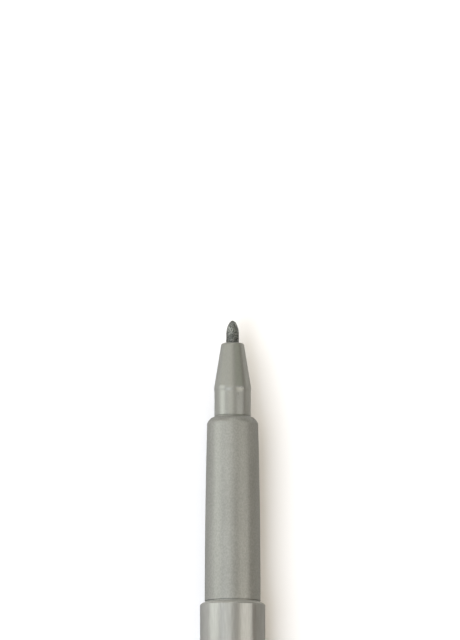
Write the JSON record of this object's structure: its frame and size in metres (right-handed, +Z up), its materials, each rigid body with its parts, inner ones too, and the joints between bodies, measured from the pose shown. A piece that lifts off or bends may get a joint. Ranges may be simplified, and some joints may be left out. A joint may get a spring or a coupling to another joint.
{
  "type": "metallic marker",
  "caption": "Slim round marker for metallic ink: bullet nib, nose cone and neck, matte grip section, glossy barrel, and a push-on cap with a pocket clip, posted on the tail.",
  "frame": {"origin": "on the table, under the middle of the marker's box as it lies with its cap posted", "axes": "+Y along the marker towards the nib, +Z up from the table, the clip on the -X side with its lower edge on the table"},
  "size_m": [0.0145, 0.1752, 0.012],
  "materials": {
    "inked_fibre": "compressed fibre, dark with metallic ink",
    "nose_plastic": "glossy grey moulding",
    "grip_plastic": "matte grey moulding, fine grain",
    "barrel_plastic": "glossy silver-grey moulding",
    "reservoir_fibre": "fibre bundle, wet with ink",
    "reservoir_film": "thin wrapped film",
    "plug_plastic": "glossy silver-grey moulding",
    "cap_plastic": "glossy silver-grey moulding",
    "liner_plastic": "pale soft moulding"
  },
  "bodies": {
    "pen": {"nib": "inked_fibre", "nib_holder": "nose_plastic", "grip_section": "grip_plastic", "barrel": "barrel_plastic", "reservoir_core": "reservoir_fibre", "reservoir_film": "reservoir_film", "tail_plug": "plug_plastic"},
    "cap": {"cap_shell": "cap_plastic", "cap_liner": "liner_plastic"},
    "clip": {"cap_clip": "cap_plastic"}
  },
  "joints": [
    {"name": "cap_pull", "type": "slide", "parent": "pen", "child": "cap", "axis": [0, -1, 0], "range_m": [0, 0.03]},
    {"name": "clip_flex", "type": "hinge", "parent": "cap", "child": "clip", "pos_m": [-0.0063, -0.0806, 0.00188], "axis": [-0.4779, 0, 0.8784], "range_deg": [0, 5], "stiffness_Nm_per_rad": 2.5}
  ]
}
